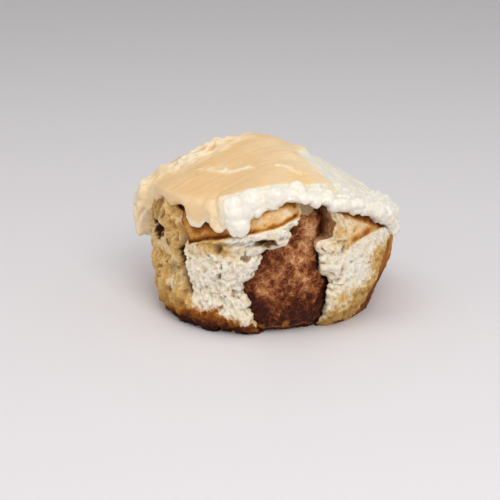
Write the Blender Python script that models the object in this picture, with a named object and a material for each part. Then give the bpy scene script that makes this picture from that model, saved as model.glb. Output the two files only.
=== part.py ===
"""A pan-baked cinnamon roll with frosting spread over its top.

The frame has +Z up, the middle of the roll's flat base near the origin, and -Y at the front.
Angles are in degrees round +Z, from 0 at the front through 90 on the right to 180 at the back.
Lengths are in millimetres until a point goes into a mesh, which is in metres.
"""

import math

import bmesh
import bpy

MM = 0.001

# How finely the two solids are cut: columns round the roll, and rows along each stretch of its profile.
COLUMNS = 90
FOOT_ROWS = 3
WALL_ROWS = 6
SHOULDER_ROWS = 3
CROWN_ROWS = 7
RIM_ROWS = 4
HEM_ROWS = 3

# A table gives one value for each of these angles, and a smooth closed curve runs through them.
TABLE_STEP = 30

# The bun. It rose higher in its middle, and higher on the left than on the right.
CROWN_HEIGHT = 57.5
CROWN_FULLNESS = 1.6
FOOT_ROUND = 9.0
SHOULDER_ROUND = 5.0
WALL_SWELL = 0.02
FOOT_RADIUS = (39.5, 38.5, 39.5, 40.5, 40.5, 40, 40, 41, 42.5, 43.5, 43.5, 42.5)
WALL_RADIUS = (45, 46, 47, 47.5, 47.5, 46, 45.5, 46.5, 47.5, 47, 46.5, 45.5)
SHOULDER_HEIGHT = (48, 46, 38, 34, 36, 40, 43, 44, 45, 43.5, 45.5, 46)

# The bare place at the front, where a neighbour in the pan took the outer turn of dough with it.
# Each edge is a torn line of (height, angle) pairs.
BARE_LEFT_EDGE = (
    (2, -8), (11, -9), (17, -13), (21, -13), (23, -8), (29, -5), (33, -2), (36, 7), (41, 9), (47, 12),
)
BARE_RIGHT_EDGE = ((1, 27), (11, 25.5), (17, 26.5), (23, 25), (29, 23), (35, 22), (38, 29), (43, 31))
BARE_DEPTH_AT_FOOT = 2.5
BARE_DEPTH_AT_TOP = 7.5
TORN_EDGE_WIDTH = 4.0

# The frosting: its thickness at the crown and at the rim, how far the rim stands out past the bun,
# and how low its hem hangs below the round of the bun's shoulder.
SEAT_GAP = 0.6
CROWN_FROSTING = 5.0
RIM_FROSTING = (7, 7, 6.5, 6.5, 6, 6, 6, 5.5, 5, 4.5, 4.5, 5)
RIM_OVERHANG = (2.5, 3.5, 3.5, 3.5, 3.5, 3.5, 3, 3, 3, 3.5, 2, 2)
HEM_DROP = (0.5, 0.5, 0.5, 2, 4, 4, 5, 4, 4, 3, 0.5, 1)
HEM_THICKNESS = 2.0
# Drips that hang below the hem: (middle angle, half width in degrees, length). A drip is wider than
# its half width by this share where it leaves the hem.
DRIPS = ((-16, 7, 6), (-98, 7, 13), (76, 8, 3), (128, 9, 5), (205, 9, 7))
DRIP_FLARE = 0.35

CRUMB_COLOUR = (0.84, 0.72, 0.50, 1.0)
CRUMB_ROUGHNESS = 0.8
FROSTING_COLOUR = (0.93, 0.86, 0.70, 1.0)
FROSTING_ROUGHNESS = 0.4


def clear_scene():
    for obj in list(bpy.data.objects):
        bpy.data.objects.remove(obj)


def smooth_step(value):
    """0 up to 0, 1 from 1 on, and a smooth S between them."""
    held = min(1.0, max(0.0, value))
    return held * held * (3 - 2 * held)


def around(table, angle):
    """The value at an angle, on a smooth closed curve through a table's values."""
    place = (angle % 360) / TABLE_STEP
    step = int(place)
    share = place - step
    before, start, end, after = (table[(step + k) % len(table)] for k in (-1, 0, 1, 2))
    slope_in = (end - before) / 2
    slope_out = (after - start) / 2
    bend = 2 * (start - end) + slope_in + slope_out
    return start + share * (slope_in + share * (end - start - slope_in - bend + share * bend))


def along(line, height):
    """The angle of a torn edge at a height, on straight runs between its points."""
    if height <= line[0][0]:
        return line[0][1]
    for (low, low_angle), (high, high_angle) in zip(line, line[1:]):
        if height <= high:
            return low_angle + (high_angle - low_angle) * (height - low) / (high - low)
    return line[-1][1]


def bare_depth(angle, height):
    """How far the bare place lies behind the outer turn: nothing outside its two torn edges."""
    turned = (angle + 180) % 360 - 180
    left = smooth_step((turned - along(BARE_LEFT_EDGE, height)) / TORN_EDGE_WIDTH)
    right = smooth_step((along(BARE_RIGHT_EDGE, height) - turned) / TORN_EDGE_WIDTH)
    rise = min(1.0, height / around(SHOULDER_HEIGHT, 0))
    return left * right * (BARE_DEPTH_AT_FOOT + (BARE_DEPTH_AT_TOP - BARE_DEPTH_AT_FOOT) * rise)


def crown_height(angle, share):
    """The bun's top over a share of the way from its middle to its shoulder."""
    fall = CROWN_HEIGHT - around(SHOULDER_HEIGHT, angle)
    return CROWN_HEIGHT - fall * share**CROWN_FULLNESS


def bun_wall(angle, height):
    """The wall's radius, less the bare place: it swells from the foot's round to the shoulder."""
    foot = around(FOOT_RADIUS, angle)
    wall = around(WALL_RADIUS, angle)
    swell = 1 - WALL_SWELL * (1 - smooth_step(height / around(SHOULDER_HEIGHT, angle)))
    turn = min(1.0, height / FOOT_ROUND)
    round_foot = foot + (wall * swell - foot) * math.sqrt(1 - (1 - turn) ** 2)
    return round_foot - bare_depth(angle, height)


def bun_foot(angle):
    """(radius, height) pairs round the foot."""
    pairs = []
    for row in range(FOOT_ROWS + 1):
        height = FOOT_ROUND * (1 - math.cos(math.pi / 2 * row / FOOT_ROWS))
        pairs.append((bun_wall(angle, height), height))
    return pairs


def bun_shoulder(angle):
    """(radius, height) pairs over the shoulder, from the wall to the crown."""
    top = around(SHOULDER_HEIGHT, angle)
    pairs = []
    for row in range(SHOULDER_ROWS + 1):
        turn = math.pi / 2 * row / SHOULDER_ROWS
        radius = bun_wall(angle, top - SHOULDER_ROUND) - SHOULDER_ROUND * (1 - math.cos(turn))
        pairs.append((radius, top - SHOULDER_ROUND * (1 - math.sin(turn))))
    return pairs


def bun_crown(angle):
    """(radius, height) pairs from the shoulder to the middle of the top."""
    edge_radius = bun_shoulder(angle)[-1][0]
    shares = [1 - row / CROWN_ROWS for row in range(1, CROWN_ROWS + 1)]
    return [(edge_radius * share, crown_height(angle, share)) for share in shares]


def drip_length(angle):
    """How far the drips hang at an angle: each is a round-ended tongue."""
    length = 0.0
    for middle, half_width, drop in DRIPS:
        away = abs((angle - middle + 180) % 360 - 180) / half_width
        length = max(length, drop * smooth_step(1 + DRIP_FLARE - away))
    return length


def hem_height(angle):
    """How high the frosting's lower edge is."""
    return around(SHOULDER_HEIGHT, angle) - SHOULDER_ROUND - around(HEM_DROP, angle) - drip_length(angle)


def wall_rows(angle, low, high, rows):
    """(radius, height) pairs up the bun's wall, from a low height to just under a high one."""
    heights = [low + (high - low) * row / rows for row in range(rows)]
    return [(bun_wall(angle, height), height) for height in heights]


def frosted_wall(angle):
    """The stretch of the bun's wall that the frosting hangs over. Both solids have these rows."""
    return wall_rows(angle, hem_height(angle), around(SHOULDER_HEIGHT, angle) - SHOULDER_ROUND, HEM_ROWS)


def bun_profile(angle):
    """The bun's half section at an angle, from the middle of its base to the middle of its top."""
    open_wall = wall_rows(angle, FOOT_ROUND, hem_height(angle), WALL_ROWS)[1:]
    return ([(0.0, 0.0)] + bun_foot(angle) + open_wall + frosted_wall(angle) + bun_shoulder(angle)
            + bun_crown(angle))


def frosting_top(angle):
    """(radius, height) pairs of the frosting's upper face, from its middle out to where it turns down."""
    edge = around(WALL_RADIUS, angle) - SHOULDER_ROUND
    pairs = []
    for row in range(CROWN_ROWS):
        share = row / (CROWN_ROWS - 1)
        thickness = CROWN_FROSTING + (around(RIM_FROSTING, angle) - CROWN_FROSTING) * share**2
        pairs.append((edge * share, crown_height(angle, share) + thickness))
    return pairs


def frosting_rim(angle):
    """(radius, height) pairs round the rim, from the upper face down to the hem."""
    inner, top = frosting_top(angle)[-1]
    outer = around(WALL_RADIUS, angle) + around(RIM_OVERHANG, angle)
    middle = around(SHOULDER_HEIGHT, angle) - SHOULDER_ROUND / 2
    pairs = []
    for row in range(1, RIM_ROWS + 1):
        turn = math.pi / 2 * row / RIM_ROWS
        pairs.append((inner + (outer - inner) * math.sin(turn), middle + (top - middle) * math.cos(turn)))
    hem = hem_height(angle)
    seat = bun_wall(angle, hem) + SEAT_GAP
    pairs.append((seat + HEM_THICKNESS, hem + HEM_THICKNESS))
    return pairs


def frosting_seat(angle):
    """(radius, height) pairs of the face that lies on the bun, from the hem in to the middle of the top."""
    wall = [(radius + SEAT_GAP, height) for radius, height in frosted_wall(angle)]
    shoulder = []
    for row, (radius, height) in enumerate(bun_shoulder(angle)):
        turn = math.pi / 2 * row / SHOULDER_ROWS
        shoulder.append((radius + SEAT_GAP * math.cos(turn), height + SEAT_GAP * math.sin(turn)))
    crown = [(radius, height + SEAT_GAP) for radius, height in bun_crown(angle)]
    return wall + shoulder + crown


def frosting_profile(angle):
    return frosting_top(angle) + frosting_rim(angle) + frosting_seat(angle)


def at(angle, pair):
    """The point in metres at an angle round the roll and a (radius, height) pair."""
    turn = math.radians(angle)
    radius, height = pair
    return (radius * math.sin(turn) * MM, -radius * math.cos(turn) * MM, height * MM)


def turned_solid(name, profile, rises):
    """A closed body from its half section at each angle. rises: the section runs from bottom to top."""
    angles = [360 * column / COLUMNS for column in range(COLUMNS)]
    sections = [profile(angle) for angle in angles]
    mesh = bpy.data.meshes.new(name)
    body = bmesh.new()
    first_pole = body.verts.new(at(0, sections[0][0]))
    last_pole = body.verts.new(at(0, sections[0][-1]))
    rings = []
    for row in range(1, len(sections[0]) - 1):
        rings.append([body.verts.new(at(angle, section[row])) for angle, section in zip(angles, sections)])
    for column in range(COLUMNS):
        after = (column + 1) % COLUMNS
        body.faces.new((first_pole, rings[0][after], rings[0][column]))
        body.faces.new((last_pole, rings[-1][column], rings[-1][after]))
        for low, high in zip(rings, rings[1:]):
            body.faces.new((low[column], low[after], high[after]))
            body.faces.new((low[column], high[after], high[column]))
    if not rises:
        bmesh.ops.reverse_faces(body, faces=body.faces)
    body.to_mesh(mesh)
    body.free()
    mesh.shade_smooth()
    solid = bpy.data.objects.new(name, mesh)
    bpy.context.scene.collection.objects.link(solid)
    return solid


def coloured(solid, name, colour, roughness):
    """Gives a solid its own plain material."""
    material = bpy.data.materials.new(name)
    material.use_nodes = True
    shader = material.node_tree.nodes["Principled BSDF"]
    shader.inputs["Base Color"].default_value = colour
    shader.inputs["Roughness"].default_value = roughness
    shader.inputs["Metallic"].default_value = 0.0
    solid.data.materials.append(material)


def main():
    clear_scene()
    bun = turned_solid("bun", bun_profile, rises=True)
    coloured(bun, "baked_dough", CRUMB_COLOUR, CRUMB_ROUGHNESS)
    frosting = turned_solid("frosting", frosting_profile, rises=False)
    coloured(frosting, "frosting", FROSTING_COLOUR, FROSTING_ROUGHNESS)


main()
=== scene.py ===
# %% [markdown]
# # A torn cinnamon roll under thick frosting
#
# A cinnamon roll is one strip of dough. It is spread with cinnamon and sugar, coiled up, and baked in a
# pan, packed against its neighbours. This one was pulled from a corner of the pan. Its front and its left
# side tore where they had grown onto other rolls, and at the front the outer turn of dough stayed behind
# with its neighbour, so the cinnamon on the turn below is bare. Then it was frosted.
#
# The lesson makes two pieces around a fixed frame. `torn_bun` stands for the frame's solid `bun`, and
# `spread_frosting` stands for `frosting`. Both are grids of points worked out with numpy, because torn
# crumb and spread frosting follow rules that are easy to say in numbers (how deep, how wide, how rough) and
# would be slow to model by hand.

# %% Load the frame
import itertools
import math

import bpy
import numpy as np
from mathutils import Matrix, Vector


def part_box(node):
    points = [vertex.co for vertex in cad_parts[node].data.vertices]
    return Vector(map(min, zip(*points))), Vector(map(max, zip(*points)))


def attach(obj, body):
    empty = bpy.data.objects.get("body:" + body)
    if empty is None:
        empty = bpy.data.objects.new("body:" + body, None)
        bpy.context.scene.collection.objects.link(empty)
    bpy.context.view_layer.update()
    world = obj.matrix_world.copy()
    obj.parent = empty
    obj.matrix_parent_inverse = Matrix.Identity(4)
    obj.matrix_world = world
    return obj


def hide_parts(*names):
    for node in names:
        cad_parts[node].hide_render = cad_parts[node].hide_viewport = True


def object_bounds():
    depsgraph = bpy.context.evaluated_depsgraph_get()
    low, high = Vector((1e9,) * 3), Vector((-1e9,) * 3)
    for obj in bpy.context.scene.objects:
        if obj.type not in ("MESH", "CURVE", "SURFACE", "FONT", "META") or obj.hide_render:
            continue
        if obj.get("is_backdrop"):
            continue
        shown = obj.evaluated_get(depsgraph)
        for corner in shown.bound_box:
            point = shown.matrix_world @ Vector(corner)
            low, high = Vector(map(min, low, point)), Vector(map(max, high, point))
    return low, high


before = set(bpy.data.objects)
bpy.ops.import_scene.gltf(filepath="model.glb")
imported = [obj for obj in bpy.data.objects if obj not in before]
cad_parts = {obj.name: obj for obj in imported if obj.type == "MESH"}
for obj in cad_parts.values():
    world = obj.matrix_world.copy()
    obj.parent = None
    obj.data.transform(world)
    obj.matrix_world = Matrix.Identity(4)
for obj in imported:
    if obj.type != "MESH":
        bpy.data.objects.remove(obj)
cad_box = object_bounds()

MM = 0.001
bun_low, bun_high = (np.array(corner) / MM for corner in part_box("bun"))
icing_low, icing_high = (np.array(corner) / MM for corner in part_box("frosting"))
print("bun, mm:", np.round(bun_high - bun_low, 1), "frosting, mm:", np.round(icing_high - icing_low, 1))

# %% [markdown]
# ## The camera, the floor and the light
#
# A long lens from a little above shows the roll as it is on a cafe table. The camera is made first, so that
# every later step can be looked at from the same place. It stands in front of the roll, and its aim is a
# little above and to the left of the base's middle.

# %% Camera
VIEW_RISE = math.radians(20.3)
VIEW_DISTANCE = 0.432
AIM_DOWN = math.radians(17.94)
CAMERA_TO_LEFT = 0.0079
LENS_MM = 78.7
SENSOR_MM = 36.0

camera_data = bpy.data.cameras.new("cafe_camera")
camera_data.lens = LENS_MM
camera_data.sensor_width = SENSOR_MM
camera = bpy.data.objects.new("cafe_camera", camera_data)
camera.location = (-CAMERA_TO_LEFT, -VIEW_DISTANCE * math.cos(VIEW_RISE), VIEW_DISTANCE * math.sin(VIEW_RISE))
camera.rotation_euler = (math.pi / 2 - AIM_DOWN, 0, 0)
bpy.context.scene.collection.objects.link(camera)
bpy.context.scene.camera = camera

# %% [markdown]
# The floor is a plain pale disc. The light is soft: a large window on the right, a wide lamp above, a weak
# one on the left so that the shaded side keeps its colour, and a pale sky all round. Large lamps close to
# the roll give the broad, soft highlights that wet frosting shows.

# %% Floor and lights
FLOOR_RADIUS = 30.0
FLOOR_COLOUR = (0.80, 0.79, 0.83, 1)
SKY_COLOUR = (1.0, 0.975, 0.955, 1)
SKY_STRENGTH = 0.50


def plain_floor():
    bpy.ops.mesh.primitive_circle_add(vertices=96, radius=FLOOR_RADIUS, fill_type="NGON")
    floor = bpy.context.object
    floor.name = "pale_floor"
    material = bpy.data.materials.new("pale_floor")
    material.use_nodes = True
    shader = material.node_tree.nodes["Principled BSDF"]
    shader.inputs["Base Color"].default_value = FLOOR_COLOUR
    shader.inputs["Roughness"].default_value = 0.6
    floor.data.materials.append(material)
    floor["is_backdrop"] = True


def soft_lamp(name, turn, rise, distance, size, power, colour):
    """A square lamp that faces the roll. It stands `turn` degrees round from the front and `rise` up."""
    lamp = bpy.data.lights.new(name, "AREA")
    lamp.size = size
    lamp.energy = power
    lamp.color = colour
    holder = bpy.data.objects.new(name, lamp)
    across = distance * math.cos(math.radians(rise))
    holder.location = (across * math.sin(math.radians(turn)), -across * math.cos(math.radians(turn)),
                       distance * math.sin(math.radians(rise)))
    holder.rotation_euler = (math.radians(90 - rise), 0, math.radians(turn))
    bpy.context.scene.collection.objects.link(holder)


plain_floor()
soft_lamp("window", 18, 42, 0.9, 0.45, 3.3, (1.0, 0.97, 0.93))
soft_lamp("ceiling", -15, 74, 1.1, 0.8, 2.6, (1.0, 0.99, 0.97))
soft_lamp("fill", -62, 15, 0.9, 0.5, 0.85, (1.0, 0.84, 0.64))
sky = bpy.data.worlds.new("pale_sky")
sky.use_nodes = True
sky.node_tree.nodes["Background"].inputs["Color"].default_value = SKY_COLOUR
sky.node_tree.nodes["Background"].inputs["Strength"].default_value = SKY_STRENGTH
bpy.context.scene.world = sky
bpy.context.scene.view_settings.view_transform = "Standard"

# %% [markdown]
# ## Noise
#
# Nothing baked is smooth, so nearly every step below needs noise. There are two kinds. Soft noise gives
# lumps: each cell of a lattice has a random height and the heights are blended. Spot noise gives pores and
# grains: each cell has one spot at a random place, and the noise is the distance to the nearest spots. Both
# take whole arrays of points, and the same seed always gives the same numbers.

# %% Noise for arrays of points


def cell_number(cells, seed):
    """A steady random number from 0 to 1 for each whole-numbered cell.

    The three indices and the seed are multiplied by large odd numbers and added. Two rounds of shifting
    and multiplying then mix the bits, which drop off above 32.
    """
    across, along, up = (cells[..., k].astype(np.int64).astype(np.uint32) for k in range(3))
    mixed = across * np.uint32(374761393) + along * np.uint32(668265263) + up * np.uint32(2246822519)
    mixed += np.uint32(seed * 3266489917 % 2**32)
    mixed = (mixed ^ (mixed >> np.uint32(15))) * np.uint32(2246822519)
    mixed = (mixed ^ (mixed >> np.uint32(13))) * np.uint32(3266489917)
    return (mixed ^ (mixed >> np.uint32(16))) / 2.0**32


def soft_noise(points, size, seed):
    """Noise from -1 to 1 with lumps about `size` mm across: the blend of the 8 nearest cells' numbers."""
    scaled = points / size
    corner = np.floor(scaled)
    part = scaled - corner
    part = part * part * (3 - 2 * part)
    total = 0
    for step in itertools.product((0, 1), repeat=3):
        weight = np.prod(np.where(step, part, 1 - part), axis=-1)
        total += weight * cell_number(corner + step, seed)
    return 2 * total - 1


def layered_noise(points, size, layers, seed):
    """Soft noise with finer layers on it, each half as wide and half as high as the one before."""
    total = sum(soft_noise(points, size / 2**layer, seed + layer) / 2**layer for layer in range(layers))
    return total / (2 - 2 ** (1 - layers))


def ridges_of(points, size, layers, seed):
    """Layered noise folded at 0: 1 along thin ridges and below 0 in the hollows between them."""
    return 1 - 2.4 * np.abs(layered_noise(points, size, layers, seed))


def noise_push(points, size, seed):
    """Three soft noises as a direction, to bend a pattern so that it doesn't look ruled."""
    return np.stack([soft_noise(points, size, seed + k) for k in range(3)], axis=-1)


def nearest_spots(points, size, seed):
    """Scattered spots, one to a cell. Gives the distance to the nearest, how much further the second nearest
    is, both in cells, and a random number from 0 to 1 that belongs to the nearest."""
    scaled = points / size
    cell = np.floor(scaled)
    first = np.full(points.shape[:-1], 9.0)
    second = first.copy()
    number = np.zeros(points.shape[:-1])
    for step in itertools.product((-1, 0, 1), repeat=3):
        near = cell + step
        spot = near + np.stack([cell_number(near, seed + k) for k in range(3)], axis=-1)
        away = np.linalg.norm(scaled - spot, axis=-1)
        number = np.where(away < first, cell_number(near, seed + 3), number)
        second = np.minimum(second, np.maximum(first, away))
        first = np.minimum(first, away)
    return first, second - first, number


sample = soft_noise(np.random.default_rng(1).uniform(-50, 50, (2000, 3)), 5, 1)
print("soft noise from", sample.min().round(2), "to", sample.max().round(2))

# %% [markdown]
# ## Ways to write a shape
#
# The roll is round, so a place on it is an angle and a height. Angles run from 0 at the front through 90 on
# the right to 180 at the back, and -90 is the left side. A size that changes round the roll is a table with
# a value every 30 degrees and a smooth closed curve through it. A line on its side, such as a torn edge, is
# a short list of points.

# %% Curves, steps and rings
TABLE_STEP = 30


def around(table, angle):
    """The value at each angle, on a closed Catmull-Rom curve through the table's values."""
    values = np.array(table, float)
    place = (np.asarray(angle, float) % 360) / TABLE_STEP
    step = np.floor(place).astype(int)
    share = place - step
    before, start, end, after = (values[(step + k) % len(values)] for k in (-1, 0, 1, 2))
    slope_in = (end - before) / 2
    slope_out = (after - start) / 2
    bend = 2 * (start - end) + slope_in + slope_out
    return start + share * (slope_in + share * (end - start - slope_in - bend + share * bend))


def along(line, value):
    """The height of a line of (place, height) points at each value, straight between its points."""
    places, heights = np.array(line, float).T
    return np.interp(value, places, heights)


def smooth_step(low, high, value):
    """0 up to low, 1 from high on, and a smooth S between them."""
    share = np.clip((value - low) / (high - low), 0, 1)
    return share * share * (3 - 2 * share)


def hump(value, middle, reach):
    """1 at the middle, falling to 0 as a bell: a third of the height is left at `reach` to each side."""
    return np.exp(-(((value - middle) / reach) ** 2))


def creases_of(noise, width):
    """1 along the lines where a noise passes through 0, falling to 0 where the noise reaches `width`."""
    return smooth_step(width, 0.0, np.abs(noise))


def mixed(under, over, share):
    """One array over another where the share says."""
    return under + share * (over - under)


def wrapped(angle):
    """The same angle between -180 and 180."""
    return (np.asarray(angle) + 180) % 360 - 180


def placed(angle, radius, height):
    """Points in mm from angles, radii and heights."""
    turn = np.radians(angle)
    return np.stack([radius * np.sin(turn), -radius * np.cos(turn), height * np.ones_like(turn)], axis=-1)


def out_of(rings):
    """The outward direction at each point of closed rings: the cross product of the steps along the ring and
    from ring to ring."""
    across = np.roll(rings, -1, axis=1) - np.roll(rings, 1, axis=1)
    up = np.gradient(rings, axis=0)
    direction = np.cross(across, up)
    return direction / np.maximum(np.linalg.norm(direction, axis=-1, keepdims=True), 1e-9)


def eased(rings, times):
    """Rings of points or of shares, with each moved to the mean of itself and its neighbours on the ring."""
    for _ in range(times):
        rings = 0.5 * rings + 0.25 * (np.roll(rings, 1, axis=1) + np.roll(rings, -1, axis=1))
    return rings


# %% [markdown]
# A piece is a stack of closed rings with a point at each end, like the lines of latitude on a globe.
# Blender gets the points and the faces as whole arrays. The volume that the faces close tells whether they
# point outwards. What a material needs to know, such as where the crumb is bare, goes with the points as
# named attributes.

# %% From rings to a mesh


def ring_faces(rows, columns):
    """Triangles at the two poles and quads between the rings. Point 0 is the first pole, and the last point
    is the other."""
    numbers = 1 + np.arange(rows * columns).reshape(rows, columns)
    after = np.roll(numbers, -1, axis=1)
    quads = np.stack([numbers[:-1], after[:-1], after[1:], numbers[1:]], axis=-1).reshape(-1, 4)
    first = np.stack([np.zeros(columns, int), after[0], numbers[0]], axis=-1)
    last = np.stack([np.full(columns, rows * columns + 1), numbers[-1], after[-1]], axis=-1)
    return first.tolist() + quads.tolist() + last.tolist()


def piece_from_rings(name, rings, attributes):
    """A closed mesh object in metres from rings in mm, with its attributes, one value to each ring point."""
    rows, columns = rings.shape[:2]
    poles = rings[0].mean(axis=0), rings[-1].mean(axis=0)
    points = np.concatenate([[poles[0]], rings.reshape(-1, 3), [poles[1]]]) * MM
    mesh = bpy.data.meshes.new(name)
    mesh.from_pydata(points.tolist(), [], ring_faces(rows, columns))
    for label, values in attributes.items():
        values = np.broadcast_to(values, rings.shape[:2])
        whole = np.concatenate([[values[0].mean()], values.ravel(), [values[-1].mean()]])
        mesh.attributes.new(label, "FLOAT", "POINT").data.foreach_set("value", whole.astype(np.float32))
    mesh.shade_smooth()
    mesh.update()
    piece = bpy.data.objects.new(name, mesh)
    bpy.context.scene.collection.objects.link(piece)
    mesh.calc_loop_triangles()
    corners = np.empty(len(mesh.loop_triangles) * 3, np.int32)
    mesh.loop_triangles.foreach_get("vertices", corners)
    solid = np.linalg.det(points[corners.reshape(-1, 3)]).sum() / 6
    print(name, "has", len(mesh.loop_triangles), "triangles and holds", round(solid * 1e6, 1), "cubic cm")
    if solid < 0:
        mesh.flip_normals()
    return piece


# %% [markdown]
# ## The bun
#
# The bun is a drum of dough that swelled as it baked: narrow at its foot, wide at its shoulder, and higher
# at the left than at the right. One way to make it would be to sculpt it. Here it is a stack of level
# outlines instead, because the tear is easiest to say as an outline: the outer turn runs from its right
# torn end, round the back, to its left torn end, goes in to the turn below, and runs along that to the
# start. Such an outline can go under itself, which a radius for each angle can't, and that leaves the dark
# crack under the right end.

# %% The bun's outline
REACH = (bun_high[0] - bun_low[0]) / 2
CROWN = bun_high[2]
FOOT_TABLE = (39.0, 37.2, 38.5, 39.5, 41, 41, 41, 41.5, 42.0, 40.8, 40.4, 42.0)
FOOT_RISE_TABLE = (8, 13, 26, 34, 20, 12, 12, 14, 20, 28, 13, 8)
WALL_TABLE = (45.3, 46, 47.2, 47.6, 48, 46, 45.5, 46.5, 47.0, 44.7, 45.5, 46)
SHOULDER_TABLE = (50.5, 47.5, 40, 35, 34, 38, 42, 44.5, 46, 44.5, 46.5, 46.5)
FOOT_SWELL = 1.1
SHOULDER_IN = 7.5
SHOULDER_DOWN = 10.0
CROWN_FULLNESS = 1.7


def wall_radius(angle, height):
    """The outer turn's radius below its shoulder. It swells from the foot to the wall as a quarter of a sine
    wave, low down where the dough sat in the pan and slowly where it rose free of it."""
    foot = around(FOOT_TABLE, angle)
    rise = around(FOOT_RISE_TABLE, angle)
    swell = np.sin(math.pi / 2 * np.clip(height / rise, 0, 1)) ** FOOT_SWELL
    return foot + (around(WALL_TABLE, angle) - foot) * swell


def shoulder_radius(angle, height):
    """The outer turn's radius at any height: the wall, less a quarter ellipse at the shoulder."""
    start = around(SHOULDER_TABLE, angle) - SHOULDER_DOWN
    rise = np.clip((height - start) / SHOULDER_DOWN, 0, 1)
    return wall_radius(angle, np.minimum(height, start)) - SHOULDER_IN * (1 - np.sqrt(1 - rise**2))


print("widest:", round(2 * REACH, 1), "mm across; crown at", round(CROWN, 1), "mm")

# %% [markdown]
# The two torn edges are lines of (height, angle). The left one has a ledge where the tear jumped sideways,
# and the right one has a tooth. Finer raggedness is noise on top.

# %% The torn edges
LEFT_TEAR = ((0, -4), (2, -7.5), (6, -9.5), (10, -10.5), (12.6, -13), (18, -16), (21, -16), (23, -10.5),
             (27.7, -7), (30.3, -6), (33.3, -3.5), (34.4, 5), (41, 7), (43.2, 11), (50, 11))
RIGHT_TEAR = ((0, 26), (5, 27), (12, 28), (19, 28), (26, 25), (31, 23.5), (33.5, 22.5), (35, 28.4),
              (42, 29.8), (50, 30.5))
LEFT_UNDERCUT = 1.2
RIGHT_UNDERCUT = 5.0
BARE_DEPTH = ((0, 2.0), (8, 3.3), (20, 5.0), (34, 6.0), (46, 6.5))
CRACK_LINE = ((0, 2.0), (12, 3.0), (26, 4.0), (33, 6.0), (38, 7.5), (46, 6.5))


def ragged(line, height, seed):
    """The angle of a torn edge at each height, with two sizes of teeth."""
    where = np.stack([height, np.zeros_like(height), np.zeros_like(height)], axis=-1)
    teeth = 1.5 * soft_noise(where, 2.6, seed) + 0.9 * soft_noise(where, 1.1, seed + 1)
    return along(line, height) + teeth


# %% [markdown]
# Rows run up the bun and columns run round it. The rows are closest on the wall and the shoulder, which
# show, and the columns are closest at the front and at the tear. Each row is laid out in four runs: the
# outer turn, the left torn end, the bared turn and the right torn end.

# %% Rows and columns of the bun
BASE_ROWS = 14
WALL_ROWS = 106
SHOULDER_ROWS = 30
CROWN_ROWS = 6
OUTER_COLUMNS = ((27, 0), (85, 128), (262, 262), (350, 458))
TORN_COLUMNS = 24
BARED_COLUMNS = 92
RIGHT_END, LEFT_END = OUTER_COLUMNS[0][0], OUTER_COLUMNS[-1][0]
TORN_LAG = 1.6
TORN_BULGE = 0.3


def bun_rows(angle):
    """(radius, height) at each row and each angle, for the outer turn as if it were whole."""
    top = around(SHOULDER_TABLE, angle)
    start = top - SHOULDER_DOWN
    foot = wall_radius(angle, 0.0)
    base_share = np.linspace(0.15, 0.995, BASE_ROWS)[:, None]
    wall = np.linspace(0, 1, WALL_ROWS, endpoint=False)[:, None] * start
    turn = np.linspace(0, math.pi / 2, SHOULDER_ROWS)[:, None]
    edge = wall_radius(angle, start)
    crown_share = np.linspace(1, 0, CROWN_ROWS + 1, endpoint=False)[1:, None]
    inner = edge - SHOULDER_IN
    radius = np.concatenate([
        foot * base_share,
        wall_radius(np.broadcast_to(angle, wall.shape), wall),
        edge - SHOULDER_IN * (1 - np.cos(turn)),
        inner * crown_share,
    ])
    height = np.concatenate([
        0 * foot * base_share,
        wall,
        top - SHOULDER_DOWN * (1 - np.sin(turn)),
        CROWN - (CROWN - top) * crown_share**CROWN_FULLNESS,
    ])
    return radius, height


def outer_run():
    """Angles, radii and heights of the outer turn. It thins towards its two torn ends."""
    stops, counts = np.array(OUTER_COLUMNS, float).T
    nominal = np.interp(np.arange(counts[-1] + 1), counts, stops)
    radius, height = bun_rows(nominal)
    low = np.maximum(height, 0)
    near_right = smooth_step(RIGHT_END + 35, RIGHT_END, nominal)
    near_left = smooth_step(LEFT_END - 54, LEFT_END, nominal)
    angle = nominal + near_right * (ragged(RIGHT_TEAR, low, 11) - RIGHT_END)
    angle += near_left * (ragged(LEFT_TEAR, low, 21) - (LEFT_END - 360))
    radius, height = bun_rows_at(angle, radius, height)
    from_right = np.radians(nominal - RIGHT_END) * radius
    from_left = np.radians(LEFT_END - nominal) * radius
    thin = 1.5 * smooth_step(5, 0, from_right) ** 2 + 1.8 * smooth_step(4, 0, from_left) ** 2
    return angle, radius - thin * on_wall(), height


def bun_rows_at(angle, radius, height):
    """The rows again once the angles have moved, so that the shape follows the new angles."""
    new_radius, new_height = radius.copy(), height.copy()
    for row in range(len(angle)):
        whole = bun_rows(angle[row])
        new_radius[row] = whole[0][row]
        new_height[row] = whole[1][row]
    return new_radius, new_height


def on_wall():
    """1 on the wall and shoulder rows, fading to 0 on the base and on the crown."""
    rows = np.arange(BASE_ROWS + WALL_ROWS + SHOULDER_ROWS + CROWN_ROWS)[:, None]
    last = BASE_ROWS + WALL_ROWS + SHOULDER_ROWS
    return smooth_step(0, BASE_ROWS, rows) * (1 - smooth_step(last - 6, last + 1, rows))


def bared_run(start, end):
    """Angles, radii and heights of the bared turn, from under the left end to under the right end."""
    share = np.linspace(0, 1, BARED_COLUMNS)[None, :]
    angle = start[:, None] + (end - start)[:, None] * share
    radius, height = bun_rows_at(angle, angle.copy(), angle.copy())
    reach = 0.16 + 0.10 * smooth_step(31, 36, height)
    depth = along(BARE_DEPTH, height) + along(CRACK_LINE, height) * hump(share, 1.0, reach)
    return angle, radius - depth * on_wall(), height


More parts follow.
